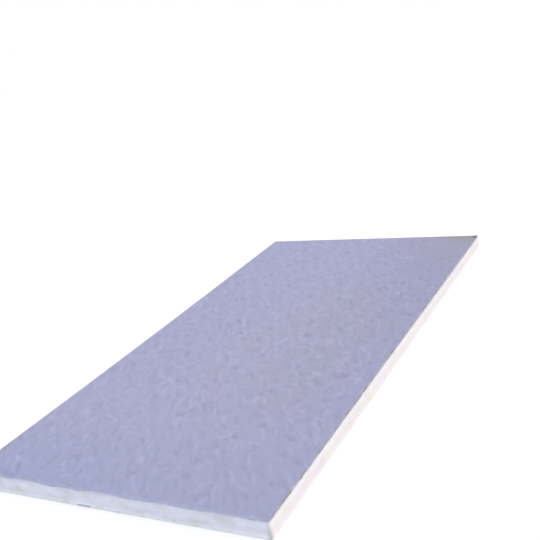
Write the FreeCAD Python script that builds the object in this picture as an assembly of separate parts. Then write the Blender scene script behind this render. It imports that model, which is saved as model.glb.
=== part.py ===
import FreeCAD, Part

import os

# Polyisocyanurate (polyiso) insulation board, as laid on roof decks and fixed to walls.
#
# A rigid closed-cell foam is poured between two webs of glass-fibre facer and bonds to both
# as it rises. The finished bun is trimmed along its sides and cut to length, so all three
# layers share the same four square-cut edges. The layers, from the floor up, are:
#   bottom_facer  the lower web
#   foam_core     the foam between the webs, bare on the four cut edges
#   top_facer     the upper web
#
# Units are millimetres. The origin is at the centre of the underside. X runs across the
# board, Y along it and Z up through its thickness.

# Driving dimensions.
BOARD_WIDTH = 1219.2  # 4 ft, along X
BOARD_LENGTH = 2438.4  # 8 ft, along Y
BOARD_THICKNESS = 66.04  # 2.6 in over both facers, along Z
FACER_THICKNESS = 0.8  # each coated glass-fibre web

# What follows from them.
FOAM_THICKNESS = BOARD_THICKNESS - 2 * FACER_THICKNESS

PARTS_FOLDER = "parts"


def full_size_layer(underside, thickness):
    """A square-edged layer of the board's full width and length, centred on Z, from underside up."""
    corner = FreeCAD.Vector(-BOARD_WIDTH / 2, -BOARD_LENGTH / 2, underside)
    return Part.makeBox(BOARD_WIDTH, BOARD_LENGTH, thickness, corner)


def bottom_facer():
    """The lower web, which the board rests on."""
    return full_size_layer(0, FACER_THICKNESS)


def foam_core():
    """The foam, which fills the space between the two webs."""
    return full_size_layer(FACER_THICKNESS, FOAM_THICKNESS)


def top_facer():
    """The upper web, bonded to the top of the foam."""
    return full_size_layer(FACER_THICKNESS + FOAM_THICKNESS, FACER_THICKNESS)


LAYERS = {
    "bottom_facer": bottom_facer,
    "foam_core": foam_core,
    "top_facer": top_facer,
}


def export_layers():
    """Writes each layer to its own STEP file, named after its node."""
    os.makedirs(PARTS_FOLDER, exist_ok=True)
    for node, make_layer in LAYERS.items():
        shape = make_layer()
        shape.exportStep(f"{PARTS_FOLDER}/{node}.step")
        print(f"{node}: {shape.Volume / 1e9:.5f} m3, {shape.BoundBox}")


export_layers()
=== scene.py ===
# %% [markdown]
# # A polyiso insulation board
#
# The real board is rigid foam, poured between two thin webs of coated glass-fibre mat that are
# called facers. The long bun is trimmed along its sides and sawn to length, so the two large
# faces are lavender-grey mat and the four narrow edges are bare, pale foam.
#
# The packed model gives the frame: the box of every layer and the record of sizes. Each layer is
# modelled again here with the detail that the cut and the mat really have. The board's size and
# the places of its faces come from that frame, so nothing has to be fitted afterwards. Only the
# marks of sawing and wear are given one by one, in metres.
#
# X runs across the board to its right side, Y along it from the near end to the far end, and Z up.

# %% Load the frame
import math

import bmesh
import bpy
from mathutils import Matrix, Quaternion, Vector


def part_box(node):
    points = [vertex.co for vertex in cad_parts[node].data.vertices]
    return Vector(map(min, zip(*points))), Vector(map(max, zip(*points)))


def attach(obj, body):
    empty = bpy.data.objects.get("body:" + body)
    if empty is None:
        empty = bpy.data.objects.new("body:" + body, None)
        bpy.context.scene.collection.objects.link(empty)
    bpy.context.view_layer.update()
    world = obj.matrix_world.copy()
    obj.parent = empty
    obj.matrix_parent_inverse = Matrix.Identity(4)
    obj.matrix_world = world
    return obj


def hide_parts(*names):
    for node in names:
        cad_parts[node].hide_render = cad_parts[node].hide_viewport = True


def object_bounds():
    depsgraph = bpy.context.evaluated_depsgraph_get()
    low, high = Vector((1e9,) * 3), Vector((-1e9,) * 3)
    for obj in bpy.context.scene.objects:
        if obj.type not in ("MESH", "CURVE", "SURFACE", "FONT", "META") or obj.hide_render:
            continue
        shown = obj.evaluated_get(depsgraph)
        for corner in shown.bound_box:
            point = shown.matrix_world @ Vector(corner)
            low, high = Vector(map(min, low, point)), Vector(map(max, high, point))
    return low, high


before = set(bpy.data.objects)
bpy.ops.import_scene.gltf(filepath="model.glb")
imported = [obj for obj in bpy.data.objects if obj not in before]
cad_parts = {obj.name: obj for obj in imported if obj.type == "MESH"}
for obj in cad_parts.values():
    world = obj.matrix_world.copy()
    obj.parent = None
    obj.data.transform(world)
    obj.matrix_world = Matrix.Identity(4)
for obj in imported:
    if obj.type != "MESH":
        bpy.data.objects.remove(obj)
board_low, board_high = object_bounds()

MM = 0.001
WIDTH, LENGTH, THICKNESS = board_high - board_low
print(f"board: {WIDTH:.4f} x {LENGTH:.4f} x {THICKNESS:.5f} m, nodes {sorted(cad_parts)}")

# %% [markdown]
# ## The camera
#
# The board lies flat and is seen from beyond its near right corner, a little above eye height
# for such a low object, with the camera tilted so that the near end slopes down to the right.
# A camera is easiest to place by what it looks at: a point on the board, then how far round, how
# high and how far away it stands. The tilt is one more turn about its own line of sight.

# %% Aim the camera
LENS = 53.4
SENSOR = 36.0
AZIMUTH = math.radians(31.07)
ELEVATION = math.radians(18.47)
TILT = math.radians(11.28)
DISTANCE = 4.35
AIM = Vector((-0.33 * WIDTH, 0.303 * LENGTH, board_high.z))


def add_camera():
    """Adds the camera that looks at AIM from the azimuth, elevation and distance given above."""
    back = Vector(
        (
            math.sin(AZIMUTH) * math.cos(ELEVATION),
            -math.cos(AZIMUTH) * math.cos(ELEVATION),
            math.sin(ELEVATION),
        )
    )
    level = (-back).to_track_quat("-Z", "Y")
    tilted = level @ Quaternion((0, 0, 1), -TILT)
    bpy.ops.object.camera_add(location=AIM + DISTANCE * back, rotation=tilted.to_euler())
    camera = bpy.context.object
    camera.name = "camera"
    camera.data.lens = LENS
    camera.data.sensor_width = SENSOR
    bpy.context.scene.camera = camera
    return camera


camera = add_camera()
print("camera at", [round(c, 3) for c in camera.location])

# %% [markdown]
# ## A short way to write materials
#
# A procedural material is a chain of small nodes. Written one by one they hide the idea, so this
# class keeps the chain readable: each method adds one node and returns the socket to pass on.
# Every pattern reads Object coordinates. The pieces sit at the origin unscaled, so one unit is one
# metre on the real board, and a pattern's size can be given in millimetres.

# %% The material helper


class Finish:
    """One material under construction, with short ways to add and link its nodes."""

    def __init__(self, name):
        self.material = bpy.data.materials.new(name)
        self.material.use_nodes = True
        self.tree = self.material.node_tree
        self.shader = self.tree.nodes["Principled BSDF"]
        self.place = self.node("ShaderNodeTexCoord").outputs["Object"]

    def node(self, kind, inputs=None, **settings):
        """Adds a node, and links or sets the inputs given by name or number."""
        made = self.tree.nodes.new(kind)
        for key, value in settings.items():
            setattr(made, key, value)
        for socket, value in (inputs or {}).items():
            if isinstance(value, bpy.types.NodeSocket):
                self.tree.links.new(value, made.inputs[socket])
            else:
                made.inputs[socket].default_value = value
        return made

    def calc(self, operation, a, b=0.0):
        """One step of arithmetic on numbers."""
        return self.node("ShaderNodeMath", {0: a, 1: b}, operation=operation).outputs[0]

    def arrow(self, operation, a, b=(0, 0, 0)):
        """One step of arithmetic on vectors."""
        return self.node("ShaderNodeVectorMath", {0: a, 1: b}, operation=operation).outputs[0]

    def stretched(self, factors):
        """The place on the board with each axis multiplied, which squeezes a pattern that way."""
        return self.arrow("MULTIPLY", self.place, factors)

    def parts(self, vector):
        """The X, Y and Z of a vector."""
        return self.node("ShaderNodeSeparateXYZ", {0: vector}).outputs

    def ramp(self, value, start, end, low=0.0, high=1.0):
        """Rises smoothly from low at start to high at end, and stays there on both sides."""
        inputs = {"Value": value, "From Min": start, "From Max": end, "To Min": low, "To Max": high}
        return self.node("ShaderNodeMapRange", inputs, interpolation_type="SMOOTHSTEP").outputs[0]

    def clouds(self, size, detail=2.0, roughness=0.5, at=None):
        """Soft noise whose lumps are size metres across, about 0.5 on average."""
        inputs = {"Vector": at or self.place, "Scale": 1 / size, "Detail": detail, "Roughness": roughness}
        return self.node("ShaderNodeTexNoise", inputs).outputs["Fac"]

    def swing(self, size, detail, by, at=None):
        """Soft noise that swings evenly to both sides of 0, multiplied by a number or a socket."""
        centred = self.calc("SUBTRACT", self.clouds(size, detail, at=at), 0.5)
        return self.calc("MULTIPLY", centred, by)

    def length(self, vector):
        """The length of a vector."""
        return self.node("ShaderNodeVectorMath", {0: vector}, operation="LENGTH").outputs["Value"]

    def blend(self, amount, a, b, mode="MIX"):
        """Mixes colour b over colour a."""
        made = self.node("ShaderNodeMix", {0: amount, 6: a, 7: b}, data_type="RGBA", blend_type=mode)
        return made.outputs[2]

    def scale_colour(self, colour, factor):
        """Multiplies a colour by a number."""
        return self.node("ShaderNodeVectorMath", {0: colour, 3: factor}, operation="SCALE").outputs[0]

    def complete(self, colour, raised, depth, strength, roughness, gloss):
        """Links the final colour and bump to the shader, and sets how rough and glossy it is."""
        bump = self.node("ShaderNodeBump", {"Height": raised, "Distance": depth, "Strength": strength})
        self.tree.links.new(colour, self.shader.inputs["Base Color"])
        self.tree.links.new(bump.outputs["Normal"], self.shader.inputs["Normal"])
        self.shader.inputs["Roughness"].default_value = roughness
        self.shader.inputs["Specular IOR Level"].default_value = gloss

    def wear(self, piece):
        """Gives the finished material to a piece."""
        piece.data.materials.clear()
        piece.data.materials.append(self.material)


def rgb(red, green, blue):
    """A colour with full alpha."""
    return (red, green, blue, 1.0)


print("materials are written with", [n for n in vars(Finish) if not n.startswith("_")])

# %% [markdown]
# ## The studio
#
# A pale, matt board needs no drama: one broad key lamp from the upper right, a cool fill in front,
# and an even sky. Their strengths are chosen so that a colour on the top face renders about as it
# is written. The near end is lit only by the fill, the sky and the floor, which makes it the cool,
# slightly darker side. A sun lamp with a wide angle is used because it gives the same even light
# on a small object and on a board 2.4 m long.
#
# The floor is matt and pale. Only the camera sees it a little brighter, through Light Path, so that
# it clips to white but keeps the board's soft shadow.

# %% Light the studio
SKY_COLOUR = rgb(0.62, 0.67, 0.79)
KEY_STRENGTH = 1.45
KEY_COLOUR = (1.0, 0.88, 0.66)
KEY_DIRECTION = Vector((-0.74, -0.10, -0.66))
KEY_SPREAD = math.radians(50)
FILL_STRENGTH = 0.60
FILL_COLOUR = (0.26, 0.46, 1.0)
FILL_DIRECTION = Vector((0.10, 0.95, -0.25))
FILL_SPREAD = math.radians(90)
FLOOR_SIZE = 40.0
FLOOR_COLOUR = rgb(0.80, 0.80, 0.80)
FLOOR_GLOW = 0.32
GLOW_COLOUR = rgb(1.0, 0.96, 0.84)


def add_sun(name, strength, colour, direction, spread):
    """Adds a sun lamp that shines along direction."""
    turn = direction.to_track_quat("-Z", "Y").to_euler()
    bpy.ops.object.light_add(type="SUN", rotation=turn)
    lamp = bpy.context.object
    lamp.name = name
    lamp.data.energy = strength
    lamp.data.color = colour
    lamp.data.angle = spread


def seen_directly(tree):
    """1 where the camera, a mirror or clear glass shows a surface, and 0 where it only lights others."""
    path = tree.nodes.new("ShaderNodeLightPath")
    total = path.outputs["Is Camera Ray"]
    for ray in ("Is Glossy Ray", "Is Transmission Ray"):
        larger = tree.nodes.new("ShaderNodeMath")
        larger.operation = "MAXIMUM"
        tree.links.new(total, larger.inputs[0])
        tree.links.new(path.outputs[ray], larger.inputs[1])
        total = larger.outputs[0]
    return total


def make_sky():
    """A plain sky that lights the board evenly and shows as white."""
    world = bpy.data.worlds.new("studio_sky")
    world.use_nodes = True
    bpy.context.scene.world = world
    tree = world.node_tree
    mix = tree.nodes.new("ShaderNodeMix")
    mix.data_type = "RGBA"
    mix.inputs[6].default_value = SKY_COLOUR
    mix.inputs[7].default_value = rgb(1, 1, 1)
    tree.links.new(seen_directly(tree), mix.inputs[0])
    tree.links.new(mix.outputs[2], tree.nodes["Background"].inputs["Color"])


def make_floor():
    """A wide matt floor at the underside of the board."""
    bpy.ops.mesh.primitive_plane_add(size=FLOOR_SIZE, location=(0, 0, board_low.z))
    floor = bpy.context.object
    floor.name = "floor"
    finish = Finish("floor_matt")
    shader = finish.shader
    shader.inputs["Base Color"].default_value = FLOOR_COLOUR
    shader.inputs["Roughness"].default_value = 1.0
    shader.inputs["Specular IOR Level"].default_value = 0.0
    shader.inputs["Emission Color"].default_value = GLOW_COLOUR
    glow = finish.calc("MULTIPLY", seen_directly(finish.tree), FLOOR_GLOW)
    finish.tree.links.new(glow, shader.inputs["Emission Strength"])
    finish.wear(floor)


make_sky()
make_floor()
add_sun("key_lamp", KEY_STRENGTH, KEY_COLOUR, KEY_DIRECTION, KEY_SPREAD)
add_sun("fill_lamp", FILL_STRENGTH, FILL_COLOUR, FILL_DIRECTION, FILL_SPREAD)
bpy.context.scene.view_settings.view_transform = "Standard"
print("studio: sky, floor, key and fill lamps")

# %% [markdown]
# ## Working by hand, in code
#
# Each layer is modelled as it would be at the keyboard: a primitive, then edit mode, then a few
# modifiers that are applied. Three habits keep this safe in a script. Everything else is
# deselected before a primitive is added. Edges and faces are selected by where they are and which
# way they point, never by number. And every modifier is applied straight away, so the next step
# sees the real surface.

# %% Modelling helpers
PARALLEL = 0.99


def pick(piece):
    """Makes piece the one selected, active object."""
    bpy.ops.object.select_all(action="DESELECT")
    piece.select_set(True)
    bpy.context.view_layer.objects.active = piece


def select_where(kind, wanted):
    """In edit mode, selects only the VERT, EDGE or FACE elements for which wanted is true."""
    bpy.ops.mesh.select_mode(type=kind)
    bpy.ops.mesh.select_all(action="DESELECT")
    mesh = bpy.context.object.data
    cage = bmesh.from_edit_mesh(mesh)
    elements = {"VERT": cage.verts, "EDGE": cage.edges, "FACE": cage.faces}[kind]
    found = [element for element in elements if wanted(element)]
    for element in found:
        element.select_set(True)
    cage.select_flush_mode()
    bmesh.update_edit_mesh(mesh)


def select_edges_along(axis):
    """In edit mode, selects only the edges that run along the axis with this number."""

    def runs_along(edge):
        run = edge.verts[1].co - edge.verts[0].co
        return abs(run[axis]) > PARALLEL * run.length

    select_where("EDGE", runs_along)


def divide_along(axis, *passes):
    """Cuts every edge that runs along an axis into equal parts, pass after pass."""
    for parts in passes:
        select_edges_along(axis)
        bpy.ops.mesh.subdivide(number_cuts=parts - 1)


def weight_group(piece, name, weight_at):
    """Makes a vertex group whose weight is weight_at(place), and leaves out weights of nothing."""
    group = piece.vertex_groups.new(name=name)
    for vertex in piece.data.vertices:
        weight = weight_at(vertex.co)
        if weight > 0:
            group.add([vertex.index], weight, "REPLACE")
    return name


def relief(piece, pattern, depth, direction="NORMAL", group="", level=0.5, stretch=None):
    """Moves the surface by a pattern, depth metres from its lowest to its highest, and applies it.

    With no pattern it moves by the whole depth, so that only the group shapes it.
    """
    pick(piece)
    modifier = piece.modifiers.new("relief", "DISPLACE")
    modifier.texture = pattern
    modifier.strength = depth
    modifier.mid_level = level
    modifier.direction = direction
    modifier.vertex_group = group
    ruler = None
    if stretch:
        bpy.ops.object.empty_add()
        ruler = bpy.context.object
        ruler.scale = stretch
        bpy.context.view_layer.update()
        modifier.texture_coords = "OBJECT"
        modifier.texture_coords_object = ruler
        pick(piece)
    bpy.ops.object.modifier_apply(modifier=modifier.name)
    if ruler:
        bpy.data.objects.remove(ruler)


def lumps(name, size, depth=2, contrast=1.0):
    """A cloud pattern for relief, with lumps size metres across."""
    pattern = bpy.data.textures.new(name, type="CLOUDS")
    pattern.noise_scale = size
    pattern.noise_depth = depth
    pattern.contrast = contrast
    return pattern


def push(middle, reach, move, radius):
    """In edit mode, moves the vertices in a box round middle, and their surroundings with them."""
    half = Vector(reach) / 2

    def inside(vertex):
        away = vertex.co - Vector(middle)
        return all(abs(away[i]) <= half[i] for i in range(3))

    select_where("VERT", inside)
    bpy.ops.transform.translate(
        value=move,
        use_proportional_edit=True,
        proportional_edit_falloff="SMOOTH",
        proportional_size=radius,
    )


def report(piece):
    """Prints a piece's size and how many triangles it has so far."""
    triangles = sum(len(face.vertices) - 2 for face in piece.data.polygons)
    size = [round(side, 4) for side in piece.dimensions]
    print(f"{piece.name}: {size} m, {triangles} triangles")


print("helpers ready")

# %% [markdown]
# ## The foam core
#
# The core is one slab of closed-cell foam. Only its four sawn edges ever show, so they get all the
# detail, and the two hidden faces stay one flat polygon each. A cube is the right start. Its top
# and bottom are taken away first, so that cutting the walls into small cells doesn't cut the
# hidden faces too, and they are filled again at the end.

# %% Block out the core and cut its walls into cells
foam_low, foam_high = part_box("foam_core")
CORNER_BLUNTING = 1.4 * MM
CELLS_ALONG = (30, 30)
CELLS_ACROSS = (15, 30)
CELLS_UP = (24,)


def add_core_walls():
    """A tube of four walls, with slightly blunted corners, cut into cells under 3 mm."""
    bpy.ops.object.select_all(action="DESELECT")
    middle = (foam_low + foam_high) / 2
    bpy.ops.mesh.primitive_cube_add(size=1, location=middle, scale=foam_high - foam_low)
    core = bpy.context.object
    core.name = "foam_core_sawn"
    bpy.ops.object.transform_apply(location=True, rotation=True, scale=True)
    bpy.ops.object.mode_set(mode="EDIT")
    select_where("FACE", lambda face: abs(face.normal.z) > PARALLEL)
    bpy.ops.mesh.delete(type="ONLY_FACE")
    select_edges_along(2)
    bpy.ops.mesh.bevel(offset=CORNER_BLUNTING, segments=2, affect="EDGES")
    divide_along(1, *CELLS_ALONG)
    divide_along(0, *CELLS_ACROSS)
    divide_along(2, *CELLS_UP)
    bpy.ops.object.mode_set(mode="OBJECT")
    return core


core = add_core_walls()
report(core)

# %% [markdown]
# ### What the saw leaves
#
# A sawn foam edge is flat but not smooth. The blade wanders a little over hundreds of millimetres,
# chatters in fine upright ridges, and tears the cells into a coarse grain. The foam itself has
# faint layers that run along the board, where one stream of rising foam met the next, and a few
# open voids. Each of these is one Displace modifier with its own pattern. The ones with a
# direction read their pattern through a stretched empty. The last one crumbles only the top and
# bottom arrises, which are the sharp edges where the sawn wall meets the facers.

# %% Give the walls their sawn relief
SAWN_RELIEF = (
    # pattern, size of its lumps, detail, depth, how it is stretched
    ("saw_wander", 300 * MM, 2, 0.8 * MM, None),
    ("saw_chatter", 10 * MM, 1, 0.15 * MM, (1, 1, 12)),
    ("foam_layers", 10 * MM, 1, 0.5 * MM, (30, 30, 1)),
    ("torn_grain", 6 * MM, 2, 0.55 * MM, None),
)
VOID_DEPTH = 1.6 * MM
VOID_SPACING = 50 * MM
VOID_RADIUS = (0.03, 0.11)  # in spacings: the flat bottom, then the rim
ARRIS_REACH = 5 * MM
ARRIS_DEPTH = 1.3 * MM
ARRIS_LUMPS = 14 * MM
ARRIS_CONTRAST = 3.0
ARRIS_LEVEL = 0.35


def void_pattern():
    """A pattern that is 1 in small round spots, about one for each VOID_SPACING, and 0 elsewhere."""
    pattern = bpy.data.textures.new("open_voids", type="VORONOI")
    pattern.noise_scale = VOID_SPACING
    pattern.use_color_ramp = True
    spots = pattern.color_ramp.elements
    spots[0].position = VOID_RADIUS[0]
    spots[0].color = rgb(1, 1, 1)
    spots[1].position = VOID_RADIUS[1]
    spots[1].color = rgb(0, 0, 0)
    return pattern


def near_arris(place):
    """1 on the foam's top and bottom arris, and 0 from ARRIS_REACH inwards."""
    away = min(place.z - foam_low.z, foam_high.z - place.z)
    return max(0.0, 1 - away / ARRIS_REACH)


for name, size, detail, depth, stretch in SAWN_RELIEF:
    relief(core, lumps(name, size, detail), depth, stretch=stretch)
relief(core, void_pattern(), -VOID_DEPTH, level=0.0)
arris = weight_group(core, "arris", near_arris)
crumble = lumps("arris_crumble", ARRIS_LUMPS, 3, ARRIS_CONTRAST)
relief(core, crumble, -ARRIS_DEPTH, group=arris, level=ARRIS_LEVEL)
report(core)

# %% [markdown]
# ### Knocks, splits and the way the board was trimmed
#
# Boards are dragged, stacked and leaned, so the lower arris has gouges where the foam broke out
# above the facer, and in two places it split and left a thin lip standing out over a groove. Each
# is a push or a pull on a short row of vertices with proportional editing, which rounds the sides
# of the hole as a thumb would.
#
# The saw isn't perfectly true either. The left side bows in by a few millimetres at half length and
# the far end is cut a little short, most of all on the left. These are Displace modifiers with no
# pattern, so that only the vertex group's weights shape them, and all three layers get the same
# ones, because they were cut together.

# %% Knock out the gouges and close the core
GOUGES = (
    # across the near end, height above the underside, length, depth, reach
    (-0.098, 3.5 * MM, 60 * MM, 5.0 * MM, 3.2 * MM),
    (-0.098, 6.2 * MM, 54 * MM, 4.4 * MM, 2.6 * MM),
    (-0.098, 8.9 * MM, 66 * MM, -1.3 * MM, 2.6 * MM),
    (-0.180, 3.5 * MM, 34 * MM, 3.4 * MM, 4.0 * MM),
    (0.262, 6.2 * MM, 12 * MM, 2.6 * MM, 7.0 * MM),
    (0.044, 3.5 * MM, 30 * MM, 2.6 * MM, 3.2 * MM),
    (0.044, 8.9 * MM, 36 * MM, -1.7 * MM, 2.6 * MM),
    (-0.410, 8.9 * MM, 16 * MM, 2.4 * MM, 7.0 * MM),
)
SIDE_GOUGES = (
    # along the right side, height above the underside, length, depth, reach
    (-0.660, 8.9 * MM, 26 * MM, 2.2 * MM, 7.0 * MM),
    (0.310, 6.2 * MM, 34 * MM, 2.6 * MM, 7.0 * MM),
    (0.905, 8.9 * MM, 22 * MM, 2.4 * MM, 7.0 * MM),
)
ROW_HEIGHT = 2.6 * MM
WALL_DEPTH = 6 * MM
BOW = 7.6 * MM
BOW_MIDDLE = -0.05
BOW_LENGTH = 2.0
SHORT_CUT = 7.0 * MM
SHORT_CUT_RIGHT = 0.3  # the share of it that is left at the right side
RIM_BAND = 5 * MM
WELD = 0.01 * MM
FOAM_SMOOTHING = math.radians(50)


def swell(along, places):
    """The height, at one spot, of the round-topped bumps listed as (middle, length, height)."""
    heights = [high * max(0.0, 1 - (2 * (along - middle) / length) ** 2) for middle, length, high in places]
    return sum(heights)


def knock_gouges():
    """Pulls short stretches of the near end and the right side in, or out where depth is negative."""
    bpy.ops.object.mode_set(mode="EDIT")
    for across, height, length, depth, reach in GOUGES:
        push((across, foam_low.y, height), (length, WALL_DEPTH, ROW_HEIGHT), (0, depth, 0), reach)
    for along, height, length, depth, reach in SIDE_GOUGES:
        push((foam_high.x, along, height), (WALL_DEPTH, length, ROW_HEIGHT), (-depth, 0, 0), reach)
    bpy.ops.object.mode_set(mode="OBJECT")


def trim_as_sawn(piece):
    """Bows the left side in and cuts the far end slightly short on the left."""

    def bowed(place):
        return max(0.0, -place.x / (WIDTH / 2)) * swell(place.y, [(BOW_MIDDLE, BOW_LENGTH, 1.0)])

    def cut_short(place):
        from_right = (WIDTH / 2 - place.x) / WIDTH
        share = SHORT_CUT_RIGHT + (1 - SHORT_CUT_RIGHT) * from_right
        return max(0.0, place.y / (LENGTH / 2)) ** 2 * share

    bow = weight_group(piece, "bowed", bowed)
    relief(piece, None, BOW, "X", bow, level=0.0)
    short = weight_group(piece, "cut_short", cut_short)
    relief(piece, None, -SHORT_CUT, "Y", short, level=0.0)


def close_core():
    """Fills the two large faces, which the facers cover, and points every face outwards."""
    bpy.ops.object.mode_set(mode="EDIT")
    for rim in (foam_low.z, foam_high.z):
        select_where("EDGE", lambda edge: edge.is_boundary and abs(edge.verts[0].co.z - rim) < RIM_BAND)
        bpy.ops.mesh.edge_face_add()
    bpy.ops.mesh.select_all(action="SELECT")
    bpy.ops.mesh.remove_doubles(threshold=WELD)
    bpy.ops.mesh.normals_make_consistent(inside=False)
    bpy.ops.object.mode_set(mode="OBJECT")
    bpy.ops.object.shade_smooth_by_angle(angle=FOAM_SMOOTHING)


pick(core)
knock_gouges()
trim_as_sawn(core)
close_core()
report(core)

# %% [markdown]
# ## The facers
#
# Each facer is a thin mat bonded to the foam, cut by the same saw. Seen close, it isn't quite flat,
# because the foam rose unevenly beneath it, and its cut edge is slightly ragged. A grid is the
# natural start for a sheet. Its outermost ring is divided finer so that the edge can be ragged by a
# millimetre without spending faces on the middle. Solidify then gives it its real thickness.
#
# The blade comes down through the top mat and drags its edge over the foam as a short burr. It is
# an extrusion of the border, pushed down by a ragged pattern: well down on the long sides, hardly
# at all on the ends, and further where the mat tore. Where the mat shrank back instead, a narrow
# ledge of foam shows. The bottom mat is pressed against the floor, so it has no burr.

# %% Make the two facers
FACER_COLUMNS = 96
FACER_ROWS = 192
BORDER_CUTS = 3
BORDER_REACH = 25 * MM
RAGGED = 1.4 * MM
RAGGED_SIZE = 12 * MM
ON_EDGE = 0.1 * MM
WAVES = 0.6 * MM
WAVES_SIZE = 220 * MM
WAVES_LEVEL_TOP = 0.7  # most of each wave goes below the flat sheet
WAVES_LEVEL_BOTTOM = 0.2  # most of each wave goes above it
BURR_OUT = 0.9 * MM
BURR_DROP = 0.5 * MM
SIDE_BURR = 4.0 * MM
SIDE_BURR_SIZE = 20 * MM
END_BURR = 1.0 * MM
END_BURR_SIZE = 12 * MM
BURR_CONTRAST = 1.6
MAT_SMOOTHING = math.radians(40)
END_TEARS = (
    # across the near end, length, extra drop
    (-0.222, 46 * MM, 2.2 * MM),
    (0.378, 24 * MM, 1.2 * MM),
    (0.552, 40 * MM, 1.6 * MM),
)
SIDE_TEARS = (
    # along the right side, length, extra drop
    (-1.083, 34 * MM, 2.2 * MM),
    (-1.000, 30 * MM, 2.0 * MM),
    (-0.834, 26 * MM, 1.8 * MM),
    (-0.150, 40 * MM, 1.4 * MM),
    (0.720, 36 * MM, 1.8 * MM),
)
SHRUNK = (
    # across the near end, length, distance back
    (-0.500, 140 * MM, 3.0 * MM),
    (-0.350, 180 * MM, 5.0 * MM),
    (-0.010, 170 * MM, 4.4 * MM),
    (0.225, 90 * MM, 1.8 * MM),
    (0.450, 140 * MM, 2.2 * MM),
)


def add_sheet(node, name, spread):
    """A flat grid on the outer side of a facer's box, with a finer ring round its border."""
    low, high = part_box(node)
    on_top = low.z > board_low.z
    outer = high.z if on_top else low.z
    bpy.ops.object.select_all(action="DESELECT")
    bpy.ops.mesh.primitive_grid_add(
        x_subdivisions=FACER_COLUMNS,
        y_subdivisions=FACER_ROWS,
        size=1,
        location=(0, 0, outer),
    )
    sheet = bpy.context.object
    sheet.name = name
    sheet.scale = (WIDTH + 2 * spread, LENGTH + 2 * spread, 1)
    bpy.ops.object.transform_apply(location=True, rotation=True, scale=True)
    bpy.ops.object.mode_set(mode="EDIT")
    select_where("FACE", lambda face: any(edge.is_boundary for edge in face.edges))
    bpy.ops.mesh.subdivide(number_cuts=BORDER_CUTS)
    if not on_top:
        bpy.ops.mesh.select_all(action="SELECT")
        bpy.ops.mesh.flip_normals()
    bpy.ops.object.mode_set(mode="OBJECT")
    return sheet


def hangs(place):
    """Whether a place is on the burr rather than on the flat sheet."""
    return place.z < board_high.z - BURR_DROP / 2


def add_burr(sheet):
    """Turns the border down as a short ragged burr, which hangs lower at the tears."""
    bpy.ops.object.mode_set(mode="EDIT")
    select_where("EDGE", lambda edge: edge.is_boundary)
    bpy.ops.mesh.extrude_edges_move(TRANSFORM_OT_translate={"value": (0, 0, -BURR_DROP)})
    bpy.ops.object.mode_set(mode="OBJECT")
    shares = {
        "side_burr": lambda p: float(hangs(p) and abs(p.x) > WIDTH / 2),
        "end_burr": lambda p: float(hangs(p) and abs(p.x) < WIDTH / 2),
        "end_torn": lambda p: (hangs(p) and p.y < board_low.y) * swell(p.x, END_TEARS) / SIDE_BURR,
        "side_torn": lambda p: (hangs(p) and p.x > board_high.x) * swell(p.y, SIDE_TEARS) / SIDE_BURR,
    }
    sides, ends, *torn = [weight_group(sheet, name, share) for name, share in shares.items()]
    side_pattern = lumps("side_burr", SIDE_BURR_SIZE, 3, BURR_CONTRAST)
    end_pattern = lumps("end_burr", END_BURR_SIZE, 3, BURR_CONTRAST)
    relief(sheet, side_pattern, SIDE_BURR, "Z", sides, level=1.0)
    relief(sheet, end_pattern, END_BURR, "Z", ends, level=1.0)
    for group in torn:
        relief(sheet, None, -SIDE_BURR, "Z", group, level=0.0)


def shrink_back(sheet):
    """Draws the near edge of the mat back from the end of the foam in a few places."""
    furthest = max(back for middle, length, back in SHRUNK)

    def pulled(place):
        near_end = max(0.0, 1 - (place.y - board_low.y) / BORDER_REACH)
        return min(1.0, near_end) * swell(place.x, SHRUNK) / furthest

    group = weight_group(sheet, "shrunk", pulled)
    relief(sheet, None, furthest, "Y", group, level=0.0)


def fray_and_wave(sheet, level):
    """Makes the four cut edges ragged and the sheet very slightly wavy."""
    side = weight_group(sheet, "long_edges", lambda p: float(WIDTH / 2 - abs(p.x) < ON_EDGE))
    end = weight_group(sheet, "end_edges", lambda p: float(LENGTH / 2 - abs(p.y) < ON_EDGE))
    relief(sheet, lumps("ragged_sides", RAGGED_SIZE, 3), RAGGED, "X", side)
    relief(sheet, lumps("ragged_ends", RAGGED_SIZE, 3), RAGGED, "Y", end)
    relief(sheet, lumps("facer_waves", WAVES_SIZE), WAVES, "Z", level=level)


def thicken(sheet, node):
    """Gives the sheet the facer's own thickness, inwards from its outer side."""
    low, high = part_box(node)
    modifier = sheet.modifiers.new("mat_thickness", "SOLIDIFY")
    modifier.thickness = high.z - low.z
    modifier.offset = -1
    pick(sheet)
    bpy.ops.object.modifier_apply(modifier=modifier.name)
    bpy.ops.object.shade_smooth_by_angle(angle=MAT_SMOOTHING)
    report(sheet)


top_sheet = add_sheet("top_facer", "top_facer_mat", BURR_OUT)
add_burr(top_sheet)
fray_and_wave(top_sheet, WAVES_LEVEL_TOP)
shrink_back(top_sheet)
trim_as_sawn(top_sheet)
thicken(top_sheet, "top_facer")

bottom_sheet = add_sheet("bottom_facer", "bottom_facer_mat", 0)
fray_and_wave(bottom_sheet, WAVES_LEVEL_BOTTOM)
trim_as_sawn(bottom_sheet)
thicken(bottom_sheet, "bottom_facer")
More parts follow.
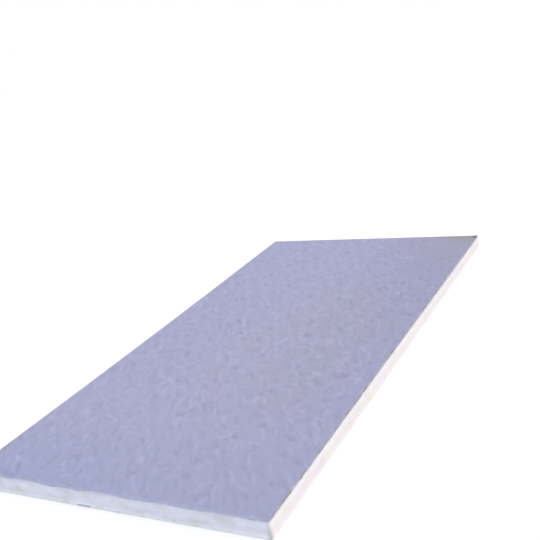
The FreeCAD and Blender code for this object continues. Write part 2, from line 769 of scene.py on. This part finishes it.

# %% [markdown]
# ## The foam's finish
#
# Sawn polyiso is matt, near white and faintly cream. It is denser and whiter next to the facers,
# where it first touched the mat, and a little creamier and pinker in the middle. Faint lines run
# along the board, and patches of a few centimetres are lighter or darker, more so on the ends,
# which are cut by a coarser saw. Up close it is a field of burst cells. On the two ends, light is
# painted too: the foot is painted lighter and warmer as bounce light from the floor, and the upper
# part and the plain tone are painted a little darker as shade.
#
# Most of the values below are ranges: where a change starts, where it ends and, if it doesn't go
# from 0 to 1, how strong it is at each. A range is handed to the ramp as it stands.

# %% The foam's bands and patches
FOAM_PALE = rgb(0.925, 0.900, 0.925)
FOAM_CREAM = rgb(0.895, 0.862, 0.835)
FOAM_PINK = rgb(0.895, 0.832, 0.852)
# The next two are painted light on the ends: a lighter, warmer foot as painted bounce light, and a darker
# upper part as painted shade.
FOAM_END_BOUNCE = rgb(1.0, 0.975, 0.890)
FOAM_END_SHADE = rgb(0.890, 0.864, 0.862)
TINT_LAVENDER = rgb(0.955, 0.945, 1.0)
TINT_CREAM = rgb(1.0, 1.0, 0.945)
ENDS_FROM = (LENGTH / 2 - 8 * MM, LENGTH / 2 - 3 * MM)
BAND_DRIFT = 14 * MM
BAND_DRIFT_SIZE = 70 * MM
MIDDLE_BELOW_TOP = (17 * MM, 30 * MM)
MIDDLE_ABOVE_FLOOR = (4 * MM, 16 * MM)
HUE_SIZE = 160 * MM
HUE_RANGE = (0.40, 0.60)
END_BOUNCE_HEIGHT = (22 * MM, 5 * MM)
END_SHADE_HEIGHT = (30 * MM, 50 * MM)
FOAM_TINT_SIZE = 60 * MM
FOAM_TINT_STRETCH = (1, 1, 1.6)
LAVENDER_RANGE = (0.52, 0.66, 0.0, 0.8)
CREAM_RANGE = (0.48, 0.34, 0.0, 0.8)
PATCH_SIZE = 42 * MM
PATCH_STRETCH = (0.7, 0.7, 1.2)
PATCH_DEPTH = 0.20
END_PATCH_DEPTH = 0.34  # added on the ends
# The plain tone is a little darker on the ends than on the sides, as painted shade.
PLAIN_TONE_AND_END_SHADE = (0.995, 0.987)  # on the sides, on the ends
STREAK_SIZE = 9 * MM
STREAK_STRETCH = (0.04, 0.04, 1)
STREAK_RANGE = (0.56, 0.66, 0.0, 0.06)
STREAKED_SIZE = 250 * MM
STREAKED_RANGE = (0.45, 0.65)
CELL_SHADE = 0.06
CELL_LEVEL = 0.955


def end_mask(finish):
    """1 on the two sawn ends and 0 on the long sides."""
    out = finish.calc("ABSOLUTE", finish.parts(finish.place)["Y"])
    return finish.ramp(out, *ENDS_FROM)


def foam_bands(finish, height, on_end):
    """The colours from the floor up: pale skins, a creamy middle that is pinker in places, and on the ends
    painted bounce light at the foot and painted shade above it.
    """
    wavy_height = finish.calc("ADD", height, finish.swing(BAND_DRIFT_SIZE, 2.0, BAND_DRIFT))
    below_top = finish.calc("SUBTRACT", foam_high.z, wavy_height)
    middle = finish.calc(
        "MULTIPLY",
        finish.ramp(below_top, *MIDDLE_BELOW_TOP),
        finish.ramp(wavy_height, *MIDDLE_ABOVE_FLOOR),
    )
    hue = finish.ramp(finish.clouds(HUE_SIZE), *HUE_RANGE)
    colour = finish.blend(middle, FOAM_PALE, finish.blend(hue, FOAM_CREAM, FOAM_PINK))
    # Painted bounce light: the foot of each end is painted lighter and warmer.
    low = finish.calc("MULTIPLY", on_end, finish.ramp(height, *END_BOUNCE_HEIGHT))
    colour = finish.blend(low, colour, FOAM_END_BOUNCE)
    # Painted shade: the upper part of each end is painted a little darker.
    high = finish.calc("MULTIPLY", on_end, finish.ramp(height, *END_SHADE_HEIGHT))
    colour = finish.blend(high, colour, FOAM_END_SHADE)
    tint = finish.clouds(FOAM_TINT_SIZE, at=finish.stretched(FOAM_TINT_STRETCH))
    colour = finish.blend(finish.ramp(tint, *LAVENDER_RANGE), colour, TINT_LAVENDER, "MULTIPLY")
    return finish.blend(finish.ramp(tint, *CREAM_RANGE), colour, TINT_CREAM, "MULTIPLY")


def foam_tone(finish, on_end, burst):
    """How much lighter or darker than plain the patches, lines and cells make each place, with the ends'
    plain tone painted a little darker as shade.
    """
    depth = finish.calc("ADD", finish.calc("MULTIPLY", on_end, END_PATCH_DEPTH), PATCH_DEPTH)
    patches = finish.swing(PATCH_SIZE, 2.0, depth, at=finish.stretched(PATCH_STRETCH))
    # Painted shade: the ends' plain tone is a little darker than the sides'.
    plain = finish.ramp(on_end, 0.0, 1.0, *PLAIN_TONE_AND_END_SHADE)
    streaks = finish.clouds(STREAK_SIZE, at=finish.stretched(STREAK_STRETCH))
    where = finish.ramp(finish.clouds(STREAKED_SIZE, 1.0), *STREAKED_RANGE)
    lines = finish.calc("MULTIPLY", finish.ramp(streaks, *STREAK_RANGE), where)
    tone = finish.calc("SUBTRACT", finish.calc("ADD", patches, plain), lines)
    cells = finish.calc("ADD", finish.calc("MULTIPLY", burst, CELL_SHADE), CELL_LEVEL)
    return finish.calc("MULTIPLY", tone, cells)


print(f"foam: cream middle from {MIDDLE_BELOW_TOP[1]:.3f} m below the top of the foam")

# %% [markdown]
# ### What handling leaves on the foam, with painted shade and highlight
#
# The blade smears coating and dust from the mat down over the top of the foam, and the same
# colour is painted there as shade under the facer's edge, and on the narrow ledge where the mat
# shrank back. The lower arris picks up dirt, and one upright corner is bruised where the board was
# stood on it. A split lip is painted whiter, partly as fresh foam and partly as a painted highlight,
# and the grooves are painted darker as shade.

# %% The foam's smears, dirt, knocks, and painted shade and highlight
# The smear colour is also painted shade, below the top facer's edge and on its ledge.
FOAM_SMEAR_AND_SHADE = rgb(0.52, 0.51, 0.63)
# Painted highlight, partly fresh foam: the proud split lip is painted whiter.
FOAM_FRESH_AND_HIGHLIGHT = rgb(1.0, 1.0, 0.99)
# Painted shade: the grooves in the near end are painted darker.
FOAM_GROOVE_SHADE = rgb(0.50, 0.49, 0.43)
FOAM_DIRT = rgb(0.70, 0.685, 0.63)
FOAM_BRUISE = rgb(0.60, 0.585, 0.54)
SMEAR_SHADE_REACH = 11 * MM
SMEAR_SHADE_FURTHER = (-0.6, 1.0, 1.0, 1.8)  # along the board: how many times further it reaches
SMEAR_SHADE_STRENGTH = (0.85, 0.34)  # on the sides, on the ends
SMEAR_SHADE_FADE = (0.0, 0.9)
COMB_SIZE = 7 * MM
COMB_STRETCH = (1, 1, 0.2)
# Painted shade on the ledge of foam where the mat shrank back.
LEDGE_SHADE_BELOW_TOP = (0.8 * MM, 0.2 * MM, 0.0, 0.6)
DIRT_HEIGHT = (4 * MM, 0.5 * MM)
DIRT_SIZE = 30 * MM
DIRT_RANGE = (0.50, 0.66, 0.0, 0.4)
BRUISED_CORNER = Vector((WIDTH / 2, -LENGTH / 2, 0))
BRUISE_REACH = (18 * MM, 2 * MM)
BRUISE_HEIGHT = (60 * MM, 0.0, 0.25, 0.9)
# Where the lip's painted highlight and the grooves' painted shade fall.
PROUD_HIGHLIGHT = (-0.7 * MM, -1.2 * MM)
SUNKEN_SHADE = (1.8 * MM, 3.2 * MM, 0.0, 0.9)
NEAR_END_ONLY = (14 * MM, 10 * MM)
OFF_SIDES = (WIDTH / 2 - 8 * MM, WIDTH / 2 - 14 * MM)
GROOVE_SHADE_HEIGHT = (20 * MM, 16 * MM)


def foam_smear_and_shade(finish, height, on_end):
    """How strongly each place below the top facer is darkened, partly as smeared coating and partly as
    painted shade under the facer's edge, with the ledge painted as shade.
    """
    combed = finish.clouds(COMB_SIZE, at=finish.stretched(COMB_STRETCH))
    reach = finish.calc("MULTIPLY", finish.calc("ADD", combed, 0.5), SMEAR_SHADE_REACH)
    reach = finish.calc("MULTIPLY", reach, finish.ramp(finish.parts(finish.place)["Y"], *SMEAR_SHADE_FURTHER))
    below_top = finish.calc("SUBTRACT", foam_high.z, height)
    share = finish.calc("SUBTRACT", 1.0, finish.calc("DIVIDE", below_top, reach))
    strength = finish.ramp(on_end, 0.0, 1.0, *SMEAR_SHADE_STRENGTH)
    on_wall = finish.calc("MULTIPLY", finish.ramp(share, *SMEAR_SHADE_FADE), strength)
    return finish.calc("MAXIMUM", on_wall, finish.ramp(below_top, *LEDGE_SHADE_BELOW_TOP))


def foam_dirt(finish, height):
    """How dirty the lower arris is, in patches."""
    low_edge = finish.ramp(finish.calc("SUBTRACT", height, foam_low.z), *DIRT_HEIGHT)
    return finish.calc("MULTIPLY", low_edge, finish.ramp(finish.clouds(DIRT_SIZE, 3.0), *DIRT_RANGE))


def foam_bruise(finish, height):
    """How bruised and dirty the near right corner is: most at its foot."""
    away = finish.arrow("MULTIPLY", finish.arrow("SUBTRACT", finish.place, BRUISED_CORNER), (1, 1, 0))
    close = finish.ramp(finish.length(away), *BRUISE_REACH)
    return finish.calc("MULTIPLY", close, finish.ramp(height, *BRUISE_HEIGHT))


def foam_split_highlight_and_shade(finish, height, colour):
    """Paints what stands proud of the near end whiter, as fresh foam and a painted highlight, and what lies
    sunken in it darker, as painted shade.
    """
    across, along = finish.parts(finish.place)[:2]
    inwards = finish.calc("SUBTRACT", along, foam_low.y)
    colour = finish.blend(finish.ramp(inwards, *PROUD_HIGHLIGHT), colour, FOAM_FRESH_AND_HIGHLIGHT)
    in_end = finish.calc("MULTIPLY", finish.ramp(inwards, *SUNKEN_SHADE), finish.ramp(inwards, *NEAR_END_ONLY))
    off_sides = finish.ramp(finish.calc("ABSOLUTE", across), *OFF_SIDES)
    low_down = finish.ramp(height, *GROOVE_SHADE_HEIGHT)
    groove = finish.calc("MULTIPLY", in_end, finish.calc("MULTIPLY", off_sides, low_down))
    return finish.blend(groove, colour, FOAM_GROOVE_SHADE)


print(f"foam: bruised corner at {[round(c, 3) for c in BRUISED_CORNER]}")

# %% Put the foam's finish on the core
CELL_SIZE = 1.6 * MM
CELL_WALL = (0.15, 0.65)
TEAR_SIZE = 4 * MM
TEAR_DEPTH = 0.5 * MM
TEAR_STRENGTH = 0.6
FOAM_ROUGHNESS = 0.9
FOAM_GLOSS = 0.2


def foam_finish():
    """Near-white sawn foam: bands, patches, cells, smear and painted shade below the top facer, painted
    light on the ends, a lip painted whiter, grooves painted as shade, bruise and dirt.
    """
    finish = Finish("sawn_foam")
    height = finish.parts(finish.place)["Z"]
    on_end = end_mask(finish)
    cells = finish.node("ShaderNodeTexVoronoi", {"Vector": finish.place, "Scale": 1 / CELL_SIZE})
    burst = finish.ramp(cells.outputs["Distance"], *CELL_WALL)
    colour = foam_bands(finish, height, on_end)
    colour = finish.scale_colour(colour, foam_tone(finish, on_end, burst))
    # Painted shade: the foam just under the top facer is darkened, partly as smeared coating, and its ledge
    # as shade.
    colour = finish.blend(foam_smear_and_shade(finish, height, on_end), colour, FOAM_SMEAR_AND_SHADE)
    colour = finish.blend(foam_dirt(finish, height), colour, FOAM_DIRT)
    # Painted highlight on the split lip, partly fresh foam, and painted shade in the grooves.
    colour = foam_split_highlight_and_shade(finish, height, colour)
    colour = finish.blend(foam_bruise(finish, height), colour, FOAM_BRUISE)
    torn = finish.calc("ADD", burst, finish.clouds(TEAR_SIZE, 3.0))
    finish.complete(colour, torn, TEAR_DEPTH, TEAR_STRENGTH, FOAM_ROUGHNESS, FOAM_GLOSS)
    return finish


foam_finish().wear(core)
print("foam finish on", core.name)

# %% [markdown]
# ## The facer's finish
#
# The mat is a random lay of glass strands under a thin mineral coating. What the eye gets is a
# lavender grey, broken up by short curly light strands, darker flecks where the coating is thin,
# and a slow change of tone over the board. The long margins are worn, the near margin is dusty and
# the far right corner is soiled.
#
# A strand pattern is made from Voronoi cells: each cell draws one short stroke through its own
# point, turned by its own random angle. Noise bends the place first, so the strokes curl. Broad,
# soft layers are the wrinkles in the coating, light ones beside dark ones, and fine layers are
# single fibres. The mat is laid down as a moving web, so its pattern is drawn out in one direction,
# here mostly along the board and a little across it.

# %% A layer of strands
LAY_ANGLE = math.radians(35)
LAY_SQUEEZE = 0.50
SIDE_SHIFT = 0.37
FAINTEST_STROKE = 0.3


def along_lay(finish):
    """The place on the board, turned to the lay of the mat and squeezed along it."""
    turned = finish.node("ShaderNodeVectorRotate", {"Vector": finish.place, "Angle": -LAY_ANGLE})
    return finish.arrow("MULTIPLY", turned.outputs[0], (1, LAY_SQUEEZE, 0))


def strand_layer(finish, laid, spacing, length, breadth, curl, shift):
    """1 on short curly strokes, one for each spacing, and 0 between them."""
    bend = finish.node("ShaderNodeTexNoise", {"Vector": laid, "Scale": 1 / (2 * length), "Detail": 1.0})
    bend = finish.arrow("SUBTRACT", bend.outputs["Color"], (0.5, 0.5, 0.5))
    bend = finish.arrow("MULTIPLY", bend, (curl, curl, 0))
    place = finish.arrow("ADD", finish.arrow("ADD", laid, bend), (shift, SIDE_SHIFT * shift, 0))
    inputs = {"Vector": place, "Scale": 1 / spacing}
    cells = finish.node("ShaderNodeTexVoronoi", inputs, voronoi_dimensions="2D")
    chance = finish.parts(cells.outputs["Color"])
    away = finish.arrow("SUBTRACT", place, cells.outputs["Position"])
    angle = finish.calc("MULTIPLY", chance[0], math.pi)
    turned = finish.node("ShaderNodeVectorRotate", {"Vector": away, "Angle": angle}, rotation_type="Z_AXIS")
    run = finish.parts(turned.outputs[0])
    across = finish.ramp(finish.calc("ABSOLUTE", run[1]), breadth / 2, 0.0)
    along = finish.ramp(finish.calc("ABSOLUTE", run[0]), length / 2, length / 4)
    stroke = finish.calc("MULTIPLY", across, along)
    return finish.calc("MULTIPLY", stroke, finish.ramp(chance[1], 0.0, 1.0, FAINTEST_STROKE, 1.0))


print(f"strands: one stroke for each Voronoi cell, drawn out {1 / LAY_SQUEEZE:.1f} times along the lay")

# %% The mat's own colour and strands
FACER_LAVENDER = rgb(0.4146, 0.4135, 0.5600)
FACER_BLEACHED = rgb(0.4260, 0.4160, 0.5390)
FACER_COOL = rgb(0.386, 0.394, 0.550)
BLEACHED_PLACE = (0.19, -0.13, 0.0)
BLEACHED_SIZE = (0.38, 0.76, 1.0)
BLEACHED_RANGE = (1.15, 0.75)
COOL_ALONG = (-0.70, -1.20)
COOL_ACROSS = (0.50, -0.60, 0.35, 1.0)
DULLED_ACROSS = (-0.10, 0.62)
DULLED_ALONG = (-1.20, 1.00, 0.035, 0.106)
OUTLINE_WANDER = 0.6
OUTLINE_WANDER_SIZE = 120 * MM
WRINKLES = (
    # spacing, length, breadth, curl, shift, strength
    (58 * MM, 54 * MM, 26 * MM, 48 * MM, 0.31, 0.095),
    (48 * MM, 46 * MM, 22 * MM, 40 * MM, 1.73, 0.095),
    (37 * MM, 38 * MM, 18 * MM, 32 * MM, 6.47, 0.060),
    (56 * MM, 44 * MM, 30 * MM, 42 * MM, 4.41, -0.098),
    (44 * MM, 38 * MM, 24 * MM, 34 * MM, 7.29, -0.090),
)
CALM_SIZE = 110 * MM
CALM_RANGE = (0.36, 0.62, 0.68, 1.10)
FIBRES = (
    # spacing, length, breadth, curl, shift, strength
    (12 * MM, 15 * MM, 2.4 * MM, 5 * MM, 2.19, 0.03),
    (9 * MM, 12 * MM, 1.6 * MM, 4 * MM, 3.57, 0.03),
    (13 * MM, 8 * MM, 4.0 * MM, 3 * MM, 5.83, -0.03),
)
GRAIN = 0.06
GRAIN_SIZE = 4 * MM


def layered(finish, laid, layers):
    """The sum of strand layers, each times its own strength."""
    total = 0.0
    for *shape, strength in layers:
        stroke = finish.calc("MULTIPLY", strand_layer(finish, laid, *shape), strength)
        total = finish.calc("ADD", stroke, total)
    return total


def distance_to(finish, place, size):
    """How far each place is from another, measured in sizes, with a wandering outline."""
    away = finish.arrow("DIVIDE", finish.arrow("SUBTRACT", finish.place, place), size)
    flat = finish.arrow("MULTIPLY", away, (1, 1, 0))
    wander = finish.swing(OUTLINE_WANDER_SIZE, 3.0, OUTLINE_WANDER)
    return finish.calc("ADD", finish.length(flat), wander)


def slow_tone(finish, across, along):
    """The mat's own colour: bleached in the middle right, cooler near the end, darker to the right."""
    bleached = finish.ramp(distance_to(finish, BLEACHED_PLACE, BLEACHED_SIZE), *BLEACHED_RANGE)
    cool = finish.calc(
        "MULTIPLY",
        finish.ramp(along, *COOL_ALONG),
        finish.ramp(across, *COOL_ACROSS),
    )
    colour = finish.blend(bleached, FACER_LAVENDER, FACER_BLEACHED)
    colour = finish.blend(cool, colour, FACER_COOL)
    to_right = finish.ramp(across, *DULLED_ACROSS)
    dulled = finish.calc("MULTIPLY", to_right, finish.ramp(along, *DULLED_ALONG))
    return finish.scale_colour(colour, finish.calc("SUBTRACT", 1.0, dulled))


def strands(finish, laid):
    """The wrinkles, which come and go, and the finer fibres and grain, as changes of tone."""
    busy = finish.ramp(finish.clouds(CALM_SIZE, 1.0, at=laid), *CALM_RANGE)
    wrinkles = finish.calc("MULTIPLY", layered(finish, laid, WRINKLES), busy)
    grain = finish.swing(GRAIN_SIZE, 3.0, GRAIN)
    fine = finish.calc("ADD", layered(finish, laid, FIBRES), grain)
    return wrinkles, fine


print(f"mat: {len(WRINKLES)} layers of wrinkles and {len(FIBRES)} of fibres")

# %% The mat's margins, soil, burr shade and hidden side
FACER_WORN = (0.42, 0.372, 0.37)  # without alpha, because it is scaled as a vector
FACER_DUSTY = rgb(0.44, 0.463, 0.56)
FACER_SMUDGE = rgb(0.404, 0.372, 0.468)
FACER_SOIL = rgb(0.375, 0.355, 0.360)
FACER_BLACKENED = rgb(0.20, 0.17, 0.17)
# The burr's colours are partly the mat's cut edge and partly painted shade.
FACER_CUT_SHADE = rgb(0.30, 0.285, 0.34)
FACER_CUT_BROWN_SHADE = rgb(0.27, 0.24, 0.235)
RIM_PALE = rgb(0.86, 0.84, 0.83)
WORN_MARGIN = (8 * MM, 0.5 * MM)
DUSTY_MARGIN = (16 * MM, 4 * MM)
PATCHY_SIZE = 50 * MM
PATCHY_RANGE = (0.35, 0.65, 0.30, 1.0)
UNEVEN_SIZE = 60 * MM
UNEVEN_RANGE = (0.38, 0.62, 0.82, 1.24)
SOILED_CORNER = Vector((WIDTH / 2, LENGTH / 2, 0))
SOILED_PATCH = SOILED_CORNER - Vector((0.05, 0, 0))
SOILING = (
    # place, size, range of distance and strength, colour
    (SOILED_CORNER, (0.55, 0.70, 1), (1.0, 0.25, 0.0, 0.6), FACER_SMUDGE),
    (SOILED_PATCH, (0.17, 0.12, 1), (1.1, 0.4, 0.0, 1.0), FACER_SOIL),
    (SOILED_CORNER, (0.035, 0.06, 1), (1.1, 0.3, 0.0, 0.9), FACER_BLACKENED),
)
BURR_HEIGHT = (THICKNESS - 1.0 * MM, THICKNESS - 2.6 * MM)
BROWN_SIZE = 160 * MM
BROWN_RANGE = (0.48, 0.60)
UNDERSIDE_HEIGHT = (THICKNESS / 2, THICKNESS / 3)
RIM_REACH = (9 * MM, 6 * MM)


def mat_margins(finish, inwards, along, colour):
    """Wears the two long margins unevenly and dusts the near one."""
    patchy = finish.ramp(finish.clouds(PATCHY_SIZE, 3.0), *PATCHY_RANGE)
    worn = finish.calc("MULTIPLY", finish.ramp(inwards, *WORN_MARGIN), patchy)
    uneven = finish.ramp(finish.clouds(UNEVEN_SIZE), *UNEVEN_RANGE)
    colour = finish.blend(worn, colour, finish.scale_colour(FACER_WORN, uneven))
    from_near = finish.calc("ADD", along, LENGTH / 2)
    dusty = finish.calc("MULTIPLY", finish.ramp(from_near, *DUSTY_MARGIN), patchy)
    return finish.blend(dusty, colour, FACER_DUSTY)


def mat_soil(finish, colour):
    """Soils the far right corner: a wide smudge, a grey patch and a blackened tip."""
    for place, size, fade, stain in SOILING:
        amount = finish.ramp(distance_to(finish, place, size), *fade)
        colour = finish.blend(amount, colour, stain)
    return colour


def mat_burr_shade(finish, height, colour):
    """Paints what hangs down over the foam dark, partly as the cut edge and partly as shade, and turns it
    brown in places.
    """
    hanging = finish.ramp(height, *BURR_HEIGHT)
    brown = finish.ramp(finish.clouds(BROWN_SIZE), *BROWN_RANGE)
    return finish.blend(hanging, colour, finish.blend(brown, FACER_CUT_SHADE, FACER_CUT_BROWN_SHADE))


def mat_underside(finish, height, inwards, along, colour):
    """Pales the rim of the bottom mat, where foam dust covers it."""
    from_end = finish.calc("SUBTRACT", LENGTH / 2, finish.calc("ABSOLUTE", along))
    rim = finish.ramp(finish.calc("MINIMUM", inwards, from_end), *RIM_REACH)
    below = finish.calc("MULTIPLY", finish.ramp(height, *UNDERSIDE_HEIGHT), rim)
    return finish.blend(below, colour, RIM_PALE)


print(f"mat: {len(SOILING)} stains at its far right corner")

# %% Put the facer's finish on both mats
TINT_WARM = rgb(1.008, 0.996, 1.0)
TINT_COLD = rgb(0.992, 1.0, 1.006)
TINT_SIZE = 36 * MM
TINT_RANGE = (0.40, 0.60)
FIBRE_RELIEF = 0.15
WRINKLE_HEIGHT = 6 * MM
WRINKLE_STRENGTH = 1.0
MAT_ROUGHNESS = 0.85
MAT_GLOSS = 0.25


def facer_finish():
    """Lavender-grey coated glass mat: slow tone, strands, worn margins and a soiled corner."""
    finish = Finish("coated_glass_mat")
    across, along, height = finish.parts(finish.place)
    inwards = finish.calc("SUBTRACT", WIDTH / 2, finish.calc("ABSOLUTE", across))
    laid = along_lay(finish)
    wrinkles, fine = strands(finish, laid)
    tone = finish.calc("ADD", finish.calc("ADD", wrinkles, fine), 1.0)
    colour = finish.scale_colour(slow_tone(finish, across, along), tone)
    tint = finish.ramp(finish.clouds(TINT_SIZE, at=laid), *TINT_RANGE)
    colour = finish.blend(1.0, colour, finish.blend(tint, TINT_COLD, TINT_WARM), "MULTIPLY")
    colour = mat_margins(finish, inwards, along, colour)
    colour = mat_soil(finish, colour)
    # Painted shade: the burr is painted dark, partly as the cut edge's own colour.
    colour = mat_burr_shade(finish, height, colour)
    colour = mat_underside(finish, height, inwards, along, colour)
    raised = finish.calc("ADD", wrinkles, finish.calc("MULTIPLY", fine, FIBRE_RELIEF))
    finish.complete(colour, raised, WRINKLE_HEIGHT, WRINKLE_STRENGTH, MAT_ROUGHNESS, MAT_GLOSS)
    return finish


mat = facer_finish()
for sheet in (top_sheet, bottom_sheet):
    mat.wear(sheet)
print("facer finish on", top_sheet.name, "and", bottom_sheet.name)

# %% [markdown]
# ## The board's one body
#
# Every piece rides on the board's one body, and the layer of the packed model that it stands for
# is hidden.

# %% Attach each piece to the body and hide its packed layer
LAYERS = (
    (core, "foam_core", "foam"),
    (top_sheet, "top_facer", "facer"),
    (bottom_sheet, "bottom_facer", "facer"),
)
for piece, node, slot in LAYERS:
    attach(piece, "root")
    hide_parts(node)
